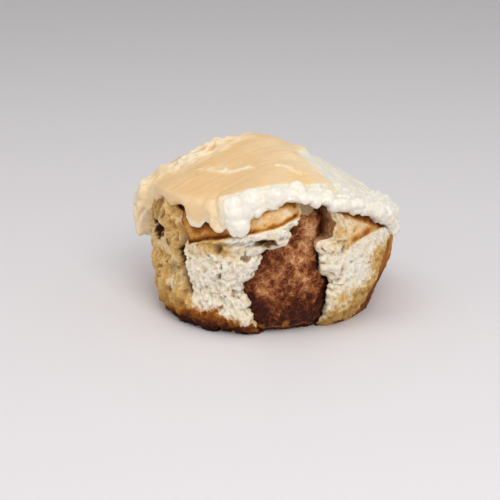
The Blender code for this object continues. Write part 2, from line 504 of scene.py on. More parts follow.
def torn_end(outside, inside, inwards):
    """The face of a torn end between the outer turn's lip and the bared turn, bulging a little on its way.
    The angle lags behind the radius, which leaves the undercut."""
    share = np.linspace(0, 1, TORN_COLUMNS + 2)[None, 1:-1]
    if not inwards:
        share = 1 - share
    lip, seam = np.array(outside)[..., None], np.array(inside)[..., None]
    angle = mixed(lip[0], seam[0], share**TORN_LAG)
    radius = mixed(lip[1], seam[1], share) + TORN_BULGE * np.sin(math.pi * share)
    return angle, radius, mixed(lip[2], seam[2], share)


outer = outer_run()
left_lip = tuple(part[:, -1] for part in outer)
right_lip = tuple(part[:, 0] for part in outer)
bared = bared_run(left_lip[0] - 360 - LEFT_UNDERCUT, right_lip[0] + RIGHT_UNDERCUT)
left_end = torn_end((left_lip[0] - 360, left_lip[1], left_lip[2]), tuple(part[:, 0] for part in bared), True)
right_end = torn_end(right_lip, tuple(part[:, -1] for part in bared), False)
runs = [outer, left_end, bared, right_end]
angles, radii, heights = (np.concatenate([run[k] for run in runs], axis=1) for k in range(3))
angles = wrapped(angles)
widths = [run[0].shape[1] for run in runs]
run_number = np.repeat(np.arange(4), widths)[None, :] * np.ones((len(angles), 1))
print("the bun's grid is", angles.shape[0], "rows by", angles.shape[1], "columns")

# %% [markdown]
# ### Where the bun is torn, bare, browned or caramelised
#
# Each of these is a share from 0 to 1 at every point. The crumb shows where the roll tore from its
# neighbours: on the front and the left, up to the line where the top crust starts, and on the right end as
# far as the crust that faced the pan. Cinnamon covers the bared turn. Sugar ran down and caramelised round
# the foot.

# %% Regions of the bun
LEFT_CRUST_LINE = ((-100, 36), (-75, 43), (-60, 45), (-47, 43), (-43.5, 36), (-40, 32), (-32, 34.8),
                   (-26, 35.6), (-10, 38.6), (-3, 39.8), (3, 41.2), (14, 45))
RIGHT_CRUST_LINE = ((20, 50), (33, 48), (33.8, 40), (34.6, 30.4), (36, 31.4), (39, 33.2), (49, 35.2),
                    (62, 34.3), (75, 31), (84, 29))
RIGHT_PAN_LINE = ((0, 50), (2, 52.5), (5, 53.5), (10, 54), (15, 55), (20, 57), (25, 60), (29, 65), (32, 74),
                  (35, 82))
BARE_TOP_LINE = ((-10, 44.5), (4, 43.4), (18, 43.4), (25, 45.5), (32, 49))
CARAMEL_LINE = ((-180, 4), (-100, 3), (-70, 4), (-50, 9), (-38, 13.5), (-28, 14), (-20, 12), (-15, 9.5),
                (-8, 6), (5, 3.5), (22, 2.5), (30, 0.8), (60, 0.8), (72, 3), (100, 7), (180, 5))
HEM_LINE = ((-180, 37), (-165, 36), (-155, 33.5), (-147, 35.5), (-128, 37), (-110, 36), (-104, 31),
            (-100.5, 25), (-98.5, 21.8), (-97, 23), (-95.5, 27.5), (-94, 29), (-92.5, 24.5), (-91, 24.5),
            (-88.5, 33), (-84, 38.5), (-75, 42.0), (-68, 44.2), (-63.5, 45.6), (-59, 44.6), (-54.5, 43.6),
            (-50, 44.8), (-46, 45.2), (-43.6, 44.6), (-42.4, 41.4), (-39, 39.8), (-36, 39.4), (-33, 39.8),
            (-31, 41.8), (-28.5, 41.2), (-26.5, 40.0), (-24.5, 39.4), (-22.3, 39.6), (-20, 41.0),
            (-18, 40.6), (-16, 39.2), (-13.5, 39.0), (-11.3, 40.8), (-10.2, 43.4), (-8.5, 46), (-3, 47.0),
            (1, 48.6), (7, 49.2), (12, 49.4), (18, 49.0), (22, 48.2), (29, 45.6), (36, 44.2), (41, 43.8),
            (49, 41.3), (57, 37.6), (65, 33.6), (72, 30.6), (78, 28.2), (85, 27.0), (93, 28), (105, 28.5),
            (113, 25), (122, 23), (130, 28), (150, 32), (165, 35), (180, 37))
LEFT_PAN_ANGLE = -104.0
FRONT_OF_TEAR = 18.0
CORNER_LINE = ((0, -40), (15, -41), (20, -43.5), (24, -45.5), (27, -48.5), (31, -45.5), (34, -44),
               (37, -45.5), (42, -47))

base_points = placed(angles, radii, heights)
wander = layered_noise(base_points, 5.0, 3, 31)
crust_line = np.where(angles < FRONT_OF_TEAR, along(LEFT_CRUST_LINE, angles), along(RIGHT_CRUST_LINE, angles))
above_crust = heights - crust_line - 0.9 * wander
under_hem = along(HEM_LINE, angles) - heights + 0.8 * wander
before_pan = along(RIGHT_PAN_LINE, heights) - angles + 3.0 * wander
after_pan = angles - LEFT_PAN_ANGLE + 7.0 * layered_noise(base_points, 13, 4, 33) + 3.0 * wander
past_corner = angles - along(CORNER_LINE, heights)
above_bare = heights - along(BARE_TOP_LINE, angles) + 1.2 * wander

outer_turn = (run_number == 0) * 1.0
on_bared = (run_number == 2) * 1.0
on_ends = ((run_number == 1) | (run_number == 3)) * 1.0
deep_end = (run_number == 3) * smooth_step(32.5, 34.5, heights)
left_side = smooth_step(5.0, -4.0, past_corner + 7.0 * wander) * outer_turn
right_side = smooth_step(20, 32, angles) * outer_turn

grew_on_others = smooth_step(-0.7, 0.7, before_pan) * smooth_step(-1, 1, after_pan)
crumb = outer_turn * smooth_step(0.35, -0.35, above_crust) * grew_on_others
crumb = eased(np.maximum(crumb, on_ends), 1) * on_wall()
cinnamon = eased(np.maximum(on_bared, deep_end), 1) * smooth_step(0.5, -0.5, above_bare)
caramel_top = np.maximum(along(CARAMEL_LINE, angles) + 6.0 * wander, 0.5)
caramel = 0.98 * smooth_step(1.15, -0.1, heights / caramel_top)
for label, share in (("crumb", crumb), ("cinnamon", cinnamon), ("caramel", caramel)):
    print(label, "covers", round(float((share > 0.5).mean()) * 100), "% of the points")

# %% [markdown]
# ### Crumb as shape
#
# Crumb is a foam of cells. Where it is torn, each cell is left open as a shallow bowl with thin walls
# between it and the next, and only a few cells go deep. The cells are taller than they are wide because the
# dough rose. Broad soft lumps lie under them, and on the right the crumb tore along its fibres, so it is
# nearly flat there.

# %% Relief of the crumb
WIDE_CELL = 3.1
SMALL_CELL = 1.5
DEEP_CELL = 1.8
DEEP_PORE = 1.1

swirled = (base_points + 1.3 * noise_push(base_points, 2.8, 41)) * (1.0, 1.0, 0.68)
wide_spot, wide_wall, wide_number = nearest_spots(swirled, WIDE_CELL, 51)
small_spot, small_wall, small_number = nearest_spots(swirled, SMALL_CELL, 55)
wide_bowl = smooth_step(0.02, 0.60, wide_wall)
small_bowl = smooth_step(0.02, 0.55, small_wall)
open_zone = 0.25 + 0.75 * smooth_step(-0.45, 0.55, layered_noise(base_points, 8.0, 2, 63))
open_zone = np.maximum(open_zone, hump(heights, 36, 3.5) * hump(angles, 2, 12))
deep_cell = smooth_step(0.80, 0.97, wide_number) * smooth_step(0.62, 0.15, wide_spot) * open_zone
deep_pore = smooth_step(0.78, 0.95, small_number) * smooth_step(0.55, 0.10, small_spot)

left_of_corner = smooth_step(0.5, -1.5, past_corner) * outer_turn
lumps = layered_noise(base_points, 8.0, 3, 67) * (1.7 - 1.0 * right_side + 0.7 * left_of_corner)
webs = ridges_of(base_points * (1, 1, 0.7) + 0.5 * noise_push(base_points, 2.0, 45), 2.4, 2, 73)
streaks = layered_noise(base_points * (1, 1, 0.45), 4.5, 3, 79)
fibres = soft_noise(base_points * (1, 1, 0.16), 0.9, 69) * right_side

crumb_relief = 0.8 + lumps + 0.20 * fibres + 0.30 * soft_noise(base_points, 0.8, 71)
crumb_relief = crumb_relief - (0.40 + 0.65 * open_zone) * wide_bowl - 0.55 * small_bowl
crumb_relief = crumb_relief - DEEP_CELL * deep_cell - DEEP_PORE * deep_pore
crumb_relief += (0.65 - 0.35 * right_side) * webs + 1.1 * streaks * left_of_corner
deep_share = float((deep_cell > 0.5)[crumb > 0.5].mean())
print("share of the torn crumb that lies in deep cells:", round(deep_share, 3))

# %% [markdown]
# ### The cinnamon coat and the crust as shape
#
# The cinnamon coat is wrinkled. The dough slid over itself as it swelled, so there are upright folds near
# the top and a net of fine creases everywhere. Crust is nearly smooth, with a few blisters, and its torn
# rim curls in.

# %% Relief of the cinnamon coat and the crust
FOLD_MIDDLE = 11.0
FOLD_PITCH = 17.5
FOLD_DEPTH = 0.7

fold_angle = angles + 2.0 * soft_noise(base_points, 8, 75) + 0.12 * (heights - 38)
fold = np.cos((fold_angle - FOLD_MIDDLE) / FOLD_PITCH * 2 * math.pi) * smooth_step(27, 36, heights)
net_points = base_points + 0.9 * noise_push(base_points, 2.0, 77)
crease = np.maximum(creases_of(soft_noise(net_points, 2.7, 81), 0.26),
                    0.7 * creases_of(soft_noise(net_points, 1.5, 82), 0.24))
mottle = layered_noise(base_points, 4.6, 4, 83)
cinnamon_relief = 0.9 * layered_noise(base_points, 6.0, 2, 85) + 0.22 * soft_noise(base_points, 1.0, 86)
cinnamon_relief = cinnamon_relief - FOLD_DEPTH * fold + 0.35 * crease

blister, _, _ = nearest_spots(base_points + 1.0 * noise_push(base_points, 3.0, 88), 5.5, 89)
wrinkle = creases_of(layered_noise(base_points * (1, 1, 0.55), 9, 3, 92), 0.25)
crust_relief = 0.8 * layered_noise(base_points, 16, 2, 87) + 0.15 * layered_noise(base_points, 2.2, 3, 91)
crust_relief += 0.45 * smooth_step(0.45, 0.1, blister) - 0.45 * wrinkle * (1 - 0.5 * right_side)
torn_rim = hump(above_crust, 0.3, 0.5) * outer_turn
relief = mixed(crust_relief - 0.45 * torn_rim, crumb_relief, crumb)
relief = mixed(relief, cinnamon_relief, cinnamon)

# %% [markdown]
# ### The torn corner
#
# At the front left corner the crumb split on a crooked line from the crust down, and the left side pulled
# away in a sheet. A deep pocket opened under its top edge. Lines and bowls say this better than noise does,
# because each of them is one event in the life of this roll. A hollow is (angle, height, half its width, half
# its height, depth), in degrees and mm. Three that overlap make the pocket.

# %% Crack and hollows
CORNER_CRACK = tuple((angle, height) for height, angle in CORNER_LINE if height >= 15)
CRACK_DEPTH = 5.5
SHEET_RISE = 1.6
SHEET_EDGE = ((-61, 44), (-57, 42), (-52, 39.5), (-46, 36.5))
HOLLOWS = ((-73, 31.9, 7.2, 3.2, 4.8), (-81, 33.2, 5.2, 2.3, 3.6), (-64.5, 33.8, 3.2, 1.8, 2.4),
           (-69.5, 36.0, 1.8, 4.5, 1.2), (-48.5, 26.8, 2.8, 3.2, 6.5), (-58, 29.5, 1.6, 1.6, 2.0),
           (-61, 41, 1.2, 3.0, 1.6), (-79, 22, 1.6, 2.5, 1.8), (-63, 19, 2.4, 1.2, 1.6),
           (-54, 20, 2.0, 1.6, 1.4), (-56, 12, 1.6, 1.4, 1.4), (-31, 17, 1.3, 0.9, 1.1),
           (-24, 27, 1.3, 0.9, 1.0), (-12, 30.5, 2.2, 1.0, 1.6), (-3, 35.0, 3.6, 1.6, 2.6),
           (45, 12, 0.9, 0.7, 1.1), (38, 6.5, 1.2, 0.7, 1.0), (56, 22, 1.1, 1.4, 0.7))


def away_from_line(line, angle, height, radius):
    """Distance in mm over the surface to a line of (angle, height) points."""
    nearest = np.full(angle.shape, 99.0)
    for (angle_a, height_a), (angle_b, height_b) in zip(line, line[1:]):
        across = np.radians(wrapped(angle - angle_a)) * radius
        up = height - height_a
        run = np.radians(angle_b - angle_a) * radius
        rise = height_b - height_a
        share = np.clip((across * run + up * rise) / (run**2 + rise**2), 0, 1)
        nearest = np.minimum(nearest, np.hypot(across - share * run, up - share * rise))
    return nearest


crack = hump(away_from_line(CORNER_CRACK, angles, heights, radii) + 0.8 * wander, 0, 1.6) * outer_turn
sheet = hump(away_from_line(SHEET_EDGE, angles, heights, radii) + 0.4 * wander, 0, 1.3) * outer_turn
beside_crack = left_side * hump(angles, -50, 9) * smooth_step(8, 22, heights)
relief = relief - CRACK_DEPTH * crack * smooth_step(40, 35, heights) + SHEET_RISE * sheet - 1.8 * beside_crack
ruffle = noise_push(base_points, 3.0, 93) + 0.5 * noise_push(base_points, 1.3, 94)
# Painted shade in each hollow, darker in the deeper ones
hollow_shade = np.zeros_like(heights)
for angle, height, width, tall, depth in HOLLOWS:
    across = (np.radians(wrapped(angles - angle)) * radii + 1.3 * ruffle[..., 0]) / width
    away = np.hypot(across, (heights - height + 1.0 * ruffle[..., 1]) / tall)
    bowl = np.exp(-(away**2.6)) * outer_turn
    relief -= depth * bowl
    hollow_shade = np.maximum(hollow_shade, smooth_step(0.05, 0.42, bowl) * min(1, depth / 3))

bun_rings = eased(base_points, 2)
bun_rings += out_of(bun_rings) * (relief * on_wall())[..., None]
bun_rings[..., 2] = np.maximum(bun_rings[..., 2], 0)
print("relief from", relief.min().round(1), "to", relief.max().round(1), "mm")

# %% [markdown]
# ### How dark each place is
#
# Every kind of surface here runs from pale to dark: crumb from white to toasted, crust from cream through
# gold to brown, cinnamon from tan to nearly black. One number from 0 to 1, the tone, says how far along a
# place is. The crumb is golden near the pan and low down, and yellow just under the crust near the torn
# corner. Painted shade with a painted warm bounce darkens the whole left side. More painted shade darkens
# the lower right flap, a facet at the right end and the torn ends, and painted light makes the cell walls
# and ridges paler.

# %% Tone of the crumb
near_pan = smooth_step(19, 2, before_pan + 6 * wander + 4 * streaks) * right_side
near_pan *= smooth_step(34, 26, heights)
# Golden browning low down; on the right flap it is made much darker, and that extra darkness is painted shade
low_gold_and_shade = smooth_step(14, 4, heights + 3 * wander) * (1 - right_side)
low_gold_and_shade += smooth_step(21, 4, heights + 4 * wander + 5 * streaks) * right_side
crumb_tone = 0.03 + 0.13 * open_zone + 0.09 * mottle + 0.62 * near_pan + low_gold_and_shade * (0.16 + 0.62 * right_side)
crumb_tone = np.minimum(crumb_tone, 0.78)

# Painted shade with a painted warm bounce over the whole left side, darker low down and just under the
# frosting
left_shade_and_bounce = 0.46 + 0.26 * smooth_step(17, 4, heights) + 0.16 * smooth_step(32, 38, heights) + 0.30 * streaks
# Painted shade on a facet at the upper left end of the right flap
facet_shade = smooth_step(36, 32, angles) * smooth_step(31, 34, heights) * right_side
yellowed = hump(past_corner, 13, 18) * (1 - left_side) * smooth_step(24, 34, heights)
crumb_tone += left_side * left_shade_and_bounce + 0.34 * facet_shade + 0.56 * yellowed * smooth_step(-0.6, 0.4, mottle)
# Painted light: paler on the cell walls and along the web ridges
crumb_tone += 0.10 - 0.10 * smooth_step(0.12, 0.0, wide_wall) - 0.16 * webs
# Painted shade on the torn ends, darker near the crust
crumb_tone += on_ends * (0.18 + 0.18 * smooth_step(34, 38, heights))

# %% [markdown]
# The crust is even brown where it faced the pan. The band of top crust that shows between the frosting and
# the tear is paler, with a brown line along its torn rim, specks, and a dark line under the frosting's edge
# that is partly browned crust and partly painted shadow of that edge.

# %% Tone of the crust
pan_tone = 0.50 + 0.34 * layered_noise(base_points, 11, 4, 95) + 0.10 * wrinkle
pan_tone += 0.20 * smooth_step(0.4, 0.1, blister) + 0.22 * smooth_step(10, 2, heights)

patchy = smooth_step(-0.5, 0.5, soft_noise(base_points, 4.0, 96))
speck = smooth_step(0.82, 0.95, small_number) * smooth_step(0.5, 0.2, small_spot)
rim_line = hump(above_crust, 0.7 + 0.5 * right_side, 1.0 + 0.7 * right_side)
dough_line = hump(above_crust - 4.4 + 2.5 * wander, 0, 0.9) * smooth_step(28, 36, angles) * patchy
# Partly browned crust and partly painted shadow under the frosting's edge
hem_brown_and_shadow = smooth_step(2.6 + 0.8 * right_side, 0.4, under_hem + 1.2 * wander)
band_tone = 0.20 - 0.10 * right_side + 0.38 * mottle + 0.35 * speck
band_tone += (0.40 + 0.30 * patchy) * rim_line + 0.204 * dough_line
band_tone += (0.35 + 0.4 * right_side) * hem_brown_and_shadow + 0.30 * smooth_step(-18, -32, angles)
band_tone += 0.30 * hump(angles, 63, 9) * smooth_step(5, 1, under_hem)
on_band = outer_turn * smooth_step(-1.5, 0.5, above_crust)
on_band *= smooth_step(-90, -80, angles) * smooth_step(86, 76, angles)
crust_tone = mixed(pan_tone, band_tone, on_band)
crust_tone += 0.46 * right_side * hump(heights, 12, 6) * hump(angles, 66, 9)
crust_tone += 0.10 * hump(angles, 66, 8) * smooth_step(34, 20, heights)

# %% [markdown]
# Cinnamon is darkest in its folds, at the bottom and beside the left tear, and in the crack under the right
# one it is painted dark as shade. The strip of the bared turn above the cinnamon is pale dough. The underside
# shows the coil as a dark line.

# %% Tone of the cinnamon, and all tones together
COIL_PITCH = 8.5

bare_share = np.zeros_like(angles)
bare_share[:, widths[0] + widths[1]:] = 1
bare_share[run_number == 2] = np.tile(np.linspace(0, 1, BARED_COLUMNS), len(angles))
# Painted shade in the crack under the right torn end
crack_shade = smooth_step(0.80, 0.97, bare_share + 0.30 * smooth_step(31, 37, heights))
cinnamon_tone = 0.58 + 0.34 * mottle + 0.20 * soft_noise(base_points, 1.7, 97) + 0.22 * fold - 0.30 * crease
cinnamon_tone += 0.50 * smooth_step(21, 5, heights + 5 * wander)
cinnamon_tone += 0.26 * hump(bare_share, 0.02, 0.12)
cinnamon_tone += 0.75 * smooth_step(34, 30, heights) * crack_shade
cinnamon_tone = cinnamon_tone - 0.80 * deep_end - 0.16 * hump(heights, 30, 8) * hump(bare_share, 0.6, 0.3)

tone = mixed(crust_tone, crumb_tone, crumb)
tone = np.clip(mixed(tone, cinnamon_tone, cinnamon), 0, 1)
strip = on_bared * smooth_step(-0.4, 0.4, above_bare)
tone = mixed(tone, 0.08 + 0.3 * smooth_step(22, 28, angles), strip)
coil = (np.hypot(base_points[..., 0], base_points[..., 1]) / COIL_PITCH - angles / 360) % 1
underside = (heights < 0.01) * 1.0
tone = mixed(tone, 0.62 + 0.3 * hump(coil, 0.5, 0.12) + 0.2 * mottle, underside)

# Painted shade: dark in the crumb's cells and pores, in the corner crack and in the hollows
in_cell = np.maximum(0.50 * deep_cell + 0.26 * wide_bowl * open_zone, 0.55 * deep_pore + 0.26 * small_bowl)
pit_shade = np.maximum.reduce([crumb * in_cell, 1.1 * crack * smooth_step(36, 30, heights), hollow_shade])
for label, share in (("crumb", crumb), ("cinnamon", cinnamon)):
    print("mean tone of the", label, tone[share > 0.5].mean().round(2))

# %% Make the bun
torn_bun = piece_from_rings("torn_bun", bun_rings, {
    "crumb": crumb,
    "cinnamon": cinnamon,
    "caramel": caramel * (1 - underside),
    "pit_shade": np.clip(pit_shade, 0, 1),
    "tone": np.clip(tone, 0, 1),
})
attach(torn_bun, "root")
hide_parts("bun")

# %% [markdown]
# ## The frosting
#
# Cream cheese frosting was pushed over the warm top with a knife. On the left the knife pressed it thin and
# smooth, and at the front and the right it was pushed up into a thick lumpy edge, with one tongue that
# hangs over the crust. A simulation of a thick liquid would round everything off, so the frosting is a
# cross section carried round instead: it goes from the crown out to the crest of the edge, over its bulge,
# down to the hem, and back under to the middle.

# %% The frosting's edge
CREST_TABLE = (42.5, 41.5, 41.8, 42.5, 43, 42, 41, 42, 43.5, 44.0, 44, 43)
CREST_RISE_TABLE = (4.2, 4.4, 4.3, 4.3, 4.6, 5.0, 4.5, 4.0, 3.2, 2.2, 2.4, 3.2)
DOME_TABLE = (1.75, 1.6, 1.4, 1.3, 1.35, 1.5, 1.7, 1.75, 1.75, 1.75, 1.75, 1.75)
BULGE_LINE = ((-180, 3), (-112, 3.0), (-104, 6.0), (-97, 9.0), (-90, 8.2), (-84, 3.0), (-76, 1.0),
              (-50, 1.0), (-36, 1.3), (-28, 2.0), (-23, 2.8), (-17, 3.6), (-12, 3.4), (-9, 2.2), (0, 1.8),
              (20, 2.2), (35, 3.2), (60, 3.6), (90, 3.8), (130, 3.6), (180, 3))
BULGE_SHARE = ((-180, 0.42), (-108, 0.42), (-100, 0.22), (-90, 0.22), (-82, 0.42), (180, 0.42))
CURL_LINE = ((-180, 0), (-106, 0), (-98, 6.6), (-91, 5.6), (-85, 0), (180, 0))
CROWN_ICING = 4.8
HEM_GAP = 0.6
LIP_RISE = 1.2

TOP_ROWS = 82
BULGE_ROWS = 22
HANG_ROWS = 24
LIP_ROWS = 5
SEAT_ROWS = 7
HEM_ROW = TOP_ROWS + BULGE_ROWS + HANG_ROWS
ICING_COLUMNS = ((-180, 0), (-104, 84), (96, 556), (180, 640))
CREST_EASING = 14


def icing_section(angle):
    """(radius, height) at each row and each angle. The crest, the bulge, the hem and the lip are four points,
    and quarter ellipses join them."""
    shoulder = around(SHOULDER_TABLE, angle)
    hem = along(HEM_LINE, angle) + 0.65 * layered_noise(placed(angle, 46.0, 0.0), 2.6, 2, 99)
    crest_radius = around(CREST_TABLE, angle)
    crest = shoulder + around(CREST_RISE_TABLE, angle)
    bulge = hem + along(BULGE_SHARE, angle) * (crest - hem)
    bulge_radius = shoulder_radius(angle, np.minimum(bulge, shoulder - 4)) + along(BULGE_LINE, angle)
    hem_radius = shoulder_radius(angle, hem) + HEM_GAP + along(CURL_LINE, angle)
    middle = CROWN + CROWN_ICING
    share = np.linspace(0.012, 1, TOP_ROWS, endpoint=False)[:, None]
    over = np.linspace(0, math.pi / 2, BULGE_ROWS, endpoint=False)[:, None]
    down = np.linspace(0, math.pi / 2, HANG_ROWS)[:, None]
    lip = np.linspace(0, 1, LIP_ROWS + 1)[1:, None]
    seat = np.linspace(1, 0, SEAT_ROWS + 1, endpoint=False)[1:, None]
    lip_radius = shoulder_radius(angle, hem + 1.5) - 1.6
    radius = np.concatenate([
        crest_radius * share,
        crest_radius + (bulge_radius - crest_radius) * np.sin(over),
        hem_radius + (bulge_radius - hem_radius) * np.cos(down) ** 0.8,
        hem_radius + (lip_radius - hem_radius) * lip,
        lip_radius * seat,
    ])
    height = np.concatenate([
        crest + (middle - crest) * (1 - share ** around(DOME_TABLE, angle)),
        bulge + (crest - bulge) * np.cos(over),
        bulge - (bulge - hem) * np.sin(down),
        hem + LIP_RISE * lip,
        hem + LIP_RISE + (middle - 8 - hem) * (1 - seat**2),
    ])
    return radius, height


icing_stops, icing_counts = np.array(ICING_COLUMNS, float).T
icing_angles = np.interp(np.arange(icing_counts[-1]), icing_counts, icing_stops)
icing_radii, icing_heights = icing_section(icing_angles)
icing_angles = icing_angles[None, :] * np.ones_like(icing_radii)
icing_points = placed(icing_angles, icing_radii, icing_heights)
near_crest = hump(np.arange(len(icing_radii)), TOP_ROWS, 9)[:, None, None]
for _ in range(CREST_EASING):
    between = (np.roll(icing_points, 1, axis=0) + np.roll(icing_points, -1, axis=0)) / 2
    icing_points += 0.7 * near_crest * (between - icing_points)
icing_rows = np.arange(len(icing_radii))[:, None] * np.ones_like(icing_radii)
on_show = smooth_step(HEM_ROW + LIP_ROWS, HEM_ROW, icing_rows)
past_crest = smooth_step(TOP_ROWS - 6, TOP_ROWS + 8, icing_rows)
print("the frosting's grid is", icing_radii.shape[0], "rows by", icing_radii.shape[1], "columns")

# %% [markdown]
# ### Where the frosting is thick and white
#
# The knife went from the left front to the right back. It left the left and the middle thin, so that the
# crust under the frosting colours it tan, and it pushed a thick white rope to the front edge and a broad
# white heap to the right. The inner side of the rope is a line of (angle, radius), and the left side of the
# heap is a line of (depth, place across).

# %% Thick and thin frosting
ROPE_LINE = ((-180, 60), (-52, 60), (-44, 48.5), (-33, 46.8), (-26, 46.4), (-21, 44.6), (-17, 42.4),
             (-10, 42.0), (-4, 41.6), (5, 40.2), (15, 38.8), (25, 37.6), (34, 35.5), (60, 32), (100, 36),
             (180, 60))
ROPE_WHITENESS = ((-180, 0.2), (-110, 0.3), (-100, 0.6), (-88, 0.35), (-70, 0.10), (-47, 0.10),
                  (-36, 0.16), (-29, 0.22), (-24, 0.34), (-21.5, 0.55), (-19.0, 1.0), (110, 1.0),
                  (150, 0.6), (180, 0.35))
HEAP_LINE = ((-45, 25), (-33, 21), (-27, 16), (-21, 12), (-10, 9), (0, 12), (12, 15), (22, 11), (30, 15),
             (45, 6))


plan_x, plan_y = icing_points[..., 0], icing_points[..., 1]
plan_radius = np.hypot(plan_x, plan_y)
icing_wander = layered_noise(icing_points, 7.0, 3, 101)
rope_inside = along(ROPE_LINE, icing_angles)
in_rope = smooth_step(-0.7, 0.9, plan_radius - rope_inside + 1.3 * icing_wander)
in_rope = np.maximum(in_rope, past_crest * smooth_step(60, 50, rope_inside))
drift = 3.0 * icing_wander + 5.0 * layered_noise(icing_points, 17, 3, 103)
in_heap = smooth_step(-3.5, 3.5, plan_x - along(HEAP_LINE, plan_y) + drift)
rope_white = np.maximum(in_rope, past_crest) * along(ROPE_WHITENESS, icing_angles)
white = np.maximum(rope_white, in_heap * 0.85)

# %% [markdown]
# ### Thick frosting as shape
#
# Cream cheese frosting breaks into curds where it is pushed up: round lumps of several sizes with creases
# between them. That is the heap on the right. The rope along the front is smoother and lies in fat folds
# with small puffs on them.

# %% Relief of the thick frosting
FOLD_WIDTH = 8.5


def lumps_of(points, size, seed):
    """Round lumps about `size` mm across: 1 at a lump's top and 0 in the creases between lumps."""
    bent_points = points + 0.25 * size * noise_push(points, size * 0.6, seed + 5)
    _, beyond, number = nearest_spots(bent_points, size, seed)
    return smooth_step(-0.15, 0.75, beyond) * (0.55 + 0.45 * number)


def billows(points, size, layers, seed):
    """Layered noise folded at 0: puffs from 0 to 1 high with a crease between each and the next."""
    bent_points = points + 0.3 * size * noise_push(points, size, seed + 9)
    total = sum(np.abs(soft_noise(bent_points, size / 2**k, seed + k)) / 2**k for k in range(layers))
    return total / (2 - 2 ** (1 - layers))


near_rim = smooth_step(0.74, 0.95, plan_radius / around(CREST_TABLE, icing_angles))
curdled = smooth_step(-12, 34, icing_angles) * smooth_step(172, 150, icing_angles) * near_rim
curds = 1.7 * lumps_of(icing_points, 6.8, 109) + 0.75 * lumps_of(icing_points, 3.4, 113) - 1.1
curds += 0.42 * lumps_of(icing_points, 1.7, 117) + 0.16 * soft_noise(icing_points, 0.9, 119)
puffs = billows(icing_points, 3.6, 3, 143)
fold_run = icing_angles * 0.75 + 0.45 * (icing_heights - 50) + 3.0 * soft_noise(icing_points, 8, 121)
rope_fold = 0.55 * np.sin(fold_run * 2 * math.pi / FOLD_WIDTH) * near_rim
rope_fold += 0.8 * layered_noise(icing_points, 7.5, 3, 123)
rope_fold += 0.25 * lumps_of(icing_points, 2.6, 127) + (0.35 + 0.65 * near_rim) * (1.5 * puffs - 0.5)
thick_relief = rope_fold + 0.7 * layered_noise(icing_points, 11, 2, 129)
thick_relief += (0.25 + 0.75 * curdled) * (curds - 0.3 * rope_fold)

# %% [markdown]
# ### Thin frosting as shape
#
# The thin part keeps what the knife did: long shallow scrapes, low steps where one stroke overlaps another,
# and crumpled ridges at the left where the knife lifted. The scrapes are noise that is stretched along the
# stroke.

# %% Relief of the thin frosting
KNIFE_TURN = math.radians(24)
STROKE_WIDTH = 8.5

knife_along = plan_x * math.cos(KNIFE_TURN) + plan_y * math.sin(KNIFE_TURN)
knife_across = plan_y * math.cos(KNIFE_TURN) - plan_x * math.sin(KNIFE_TURN)
flat = np.zeros_like(plan_x)
stroke = np.stack([knife_along * 0.10, knife_across, flat], axis=-1)
lap = (knife_across / STROKE_WIDTH + 0.9 * layered_noise(icing_points, 22, 2, 131)) % 1
lap_step = (lap - smooth_step(0.93, 1.0, lap)) * smooth_step(-0.4, 0.4, soft_noise(icing_points, 13, 132))
scrapes = 0.20 * layered_noise(stroke, 2.2, 3, 133) + 0.75 * layered_noise(icing_points, 17, 2, 135)
crumple = hump(plan_x - 0.5 * plan_y, -28, 16) * hump(plan_y, 2, 10)
ridges = ridges_of(np.stack([knife_along * 0.5, knife_across, flat], axis=-1), 4.2, 2, 137)
crumpled = 1.6 * layered_noise(icing_points, 3.2, 3, 145) + 2.2 * billows(icing_points, 4.2, 3, 155) - 0.8
thin_relief = scrapes + 0.32 * lap_step + 0.05 * soft_noise(icing_points, 1.1, 139)
thin_relief += crumple * (2.4 * ridges + crumpled)

# %% [markdown]
# ### The whole relief
#
# Thick and thin relief meet where the shares say. The rim of the thin side gets soft waves, and the smear
# that stands off the left wall gets puffs. What happened once has its place in a list, in mm: a mound or a
# dent is (x, y, reach, height or depth), and a white smear runs straight from one (x, y) to another.

# %% Relief of the frosting
MOUNDS = ((-12, 8, 17, 1.8), (12, -1, 3.6, 1.7), (9, 12, 7.0, -1.5), (17, -6, 5.0, -0.7), (7, -15, 3.0, 0.8),
          (-42, 8, 3.2, 2.0))
SMEARS = ((-27, -16, -17, -22), (-15, -24, -8, -25), (2, -27, 12, -30))
DENTS = ((21, -33, 2.6, 1.0), (10, -33, 4.5, 0.8), (-24, -36, 1.6, 0.5), (-20, -37.5, 1.4, 0.5))
SMEAR_RISE = 0.35


def mound(x, y, reach):
    """A bell in plan round the place (x, y)."""
    return hump(np.hypot(plan_x - x, plan_y - y), 0, reach)


def from_run(x_a, y_a, x_b, y_b):
    """Distance in plan to a straight run from a to b."""
    run, rise = x_b - x_a, y_b - y_a
    share = np.clip(((plan_x - x_a) * run + (plan_y - y_a) * rise) / (run**2 + rise**2), 0, 1)
    return np.hypot(plan_x - x_a - share * run, plan_y - y_a - share * rise)


thick_share = np.clip(np.maximum(in_rope * smooth_step(-34, -22, icing_angles), in_heap), 0, 1)
thin_rim = past_crest * (1 - thick_share)
left_rim = smooth_step(-84, -100, wrapped(icing_angles + 40) - 40)
near_hem = smooth_step(HEM_ROW - 9, HEM_ROW, icing_rows) * smooth_step(-22, -28, icing_angles)
standing_off = smooth_step(-108, -99, icing_angles) * smooth_step(-80, -88, icing_angles) * past_crest

